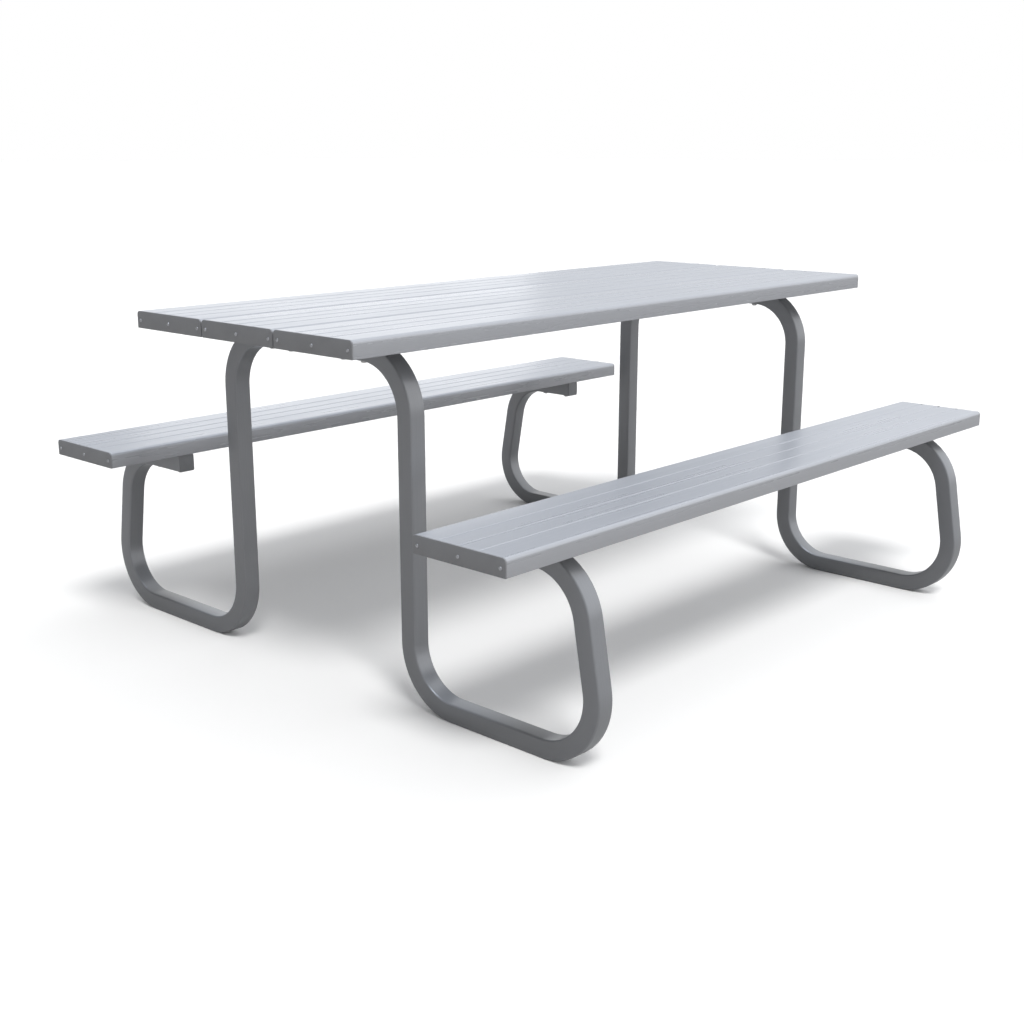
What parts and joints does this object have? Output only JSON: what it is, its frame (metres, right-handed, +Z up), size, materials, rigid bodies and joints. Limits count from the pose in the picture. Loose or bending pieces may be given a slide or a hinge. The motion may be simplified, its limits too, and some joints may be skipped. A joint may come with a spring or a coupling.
{
  "type": "picnic table",
  "caption": "Picnic table with anodised extruded aluminium planks for the top and two benches, carried on bent square-tube end frames that rest flat on the ground.",
  "frame": {"origin": "on the floor, under the middle of the table, at the centre of the overall box's bottom face", "axes": "+X along the planks to the right, +Y across the table towards the back bench, +Z up"},
  "size_m": [1.8032, 1.5538, 0.775],
  "materials": {
    "plank_anodised": "clear anodised extrusion, satin, with fine lines along the plank",
    "frame_satin": "satin silver-grey anodised tube",
    "cap_grey": "fine-textured mid-grey moulding",
    "plug_grey": "fine-textured mid-grey moulding",
    "rivet_aluminium": "bright domed rivet head",
    "stainless_steel": "plain stainless steel"
  },
  "bodies": {
    "root": {"bench_plank_back": "plank_anodised", "bench_plank_back_bolts": "stainless_steel", "bench_plank_back_cap_left": "cap_grey", "bench_plank_back_cap_right": "cap_grey", "bench_plank_back_nuts": "stainless_steel", "bench_plank_back_rivets_left": "rivet_aluminium", "bench_plank_back_rivets_right": "rivet_aluminium", "bench_plank_back_washers": "stainless_steel", "bench_plank_front": "plank_anodised", "bench_plank_front_bolts": "stainless_steel", "bench_plank_front_cap_left": "cap_grey", "bench_plank_front_cap_right": "cap_grey", "bench_plank_front_nuts": "stainless_steel", "bench_plank_front_rivets_left": "rivet_aluminium", "bench_plank_front_rivets_right": "rivet_aluminium", "bench_plank_front_washers": "stainless_steel", "frame_left_back": "frame_satin", "frame_left_front": "frame_satin", "frame_right_back": "frame_satin", "frame_right_front": "frame_satin", "frame_sleeve_left": "frame_satin", "frame_sleeve_right": "frame_satin", "table_plank_back": "plank_anodised", "table_plank_back_bolts": "stainless_steel", "table_plank_back_cap_left": "cap_grey", "table_plank_back_cap_right": "cap_grey", "table_plank_back_nuts": "stainless_steel", "table_plank_back_rivets_left": "rivet_aluminium", "table_plank_back_rivets_right": "rivet_aluminium", "table_plank_back_washers": "stainless_steel", "table_plank_front": "plank_anodised", "table_plank_front_bolts": "stainless_steel", "table_plank_front_cap_left": "cap_grey", "table_plank_front_cap_right": "cap_grey", "table_plank_front_nuts": "stainless_steel", "table_plank_front_rivets_left": "rivet_aluminium", "table_plank_front_rivets_right": "rivet_aluminium", "table_plank_front_washers": "stainless_steel", "table_plank_middle": "plank_anodised", "table_plank_middle_bolts": "stainless_steel", "table_plank_middle_cap_left": "cap_grey", "table_plank_middle_cap_right": "cap_grey", "table_plank_middle_nuts": "stainless_steel", "table_plank_middle_rivets_left": "rivet_aluminium", "table_plank_middle_rivets_right": "rivet_aluminium", "table_plank_middle_washers": "stainless_steel", "tie_bar": "frame_satin", "tie_bar_bolts": "stainless_steel", "tie_bar_nuts": "stainless_steel", "tie_bar_washers": "stainless_steel", "tube_plug_left_back": "plug_grey", "tube_plug_left_front": "plug_grey", "tube_plug_right_back": "plug_grey", "tube_plug_right_front": "plug_grey"}
  },
  "joints": []
}
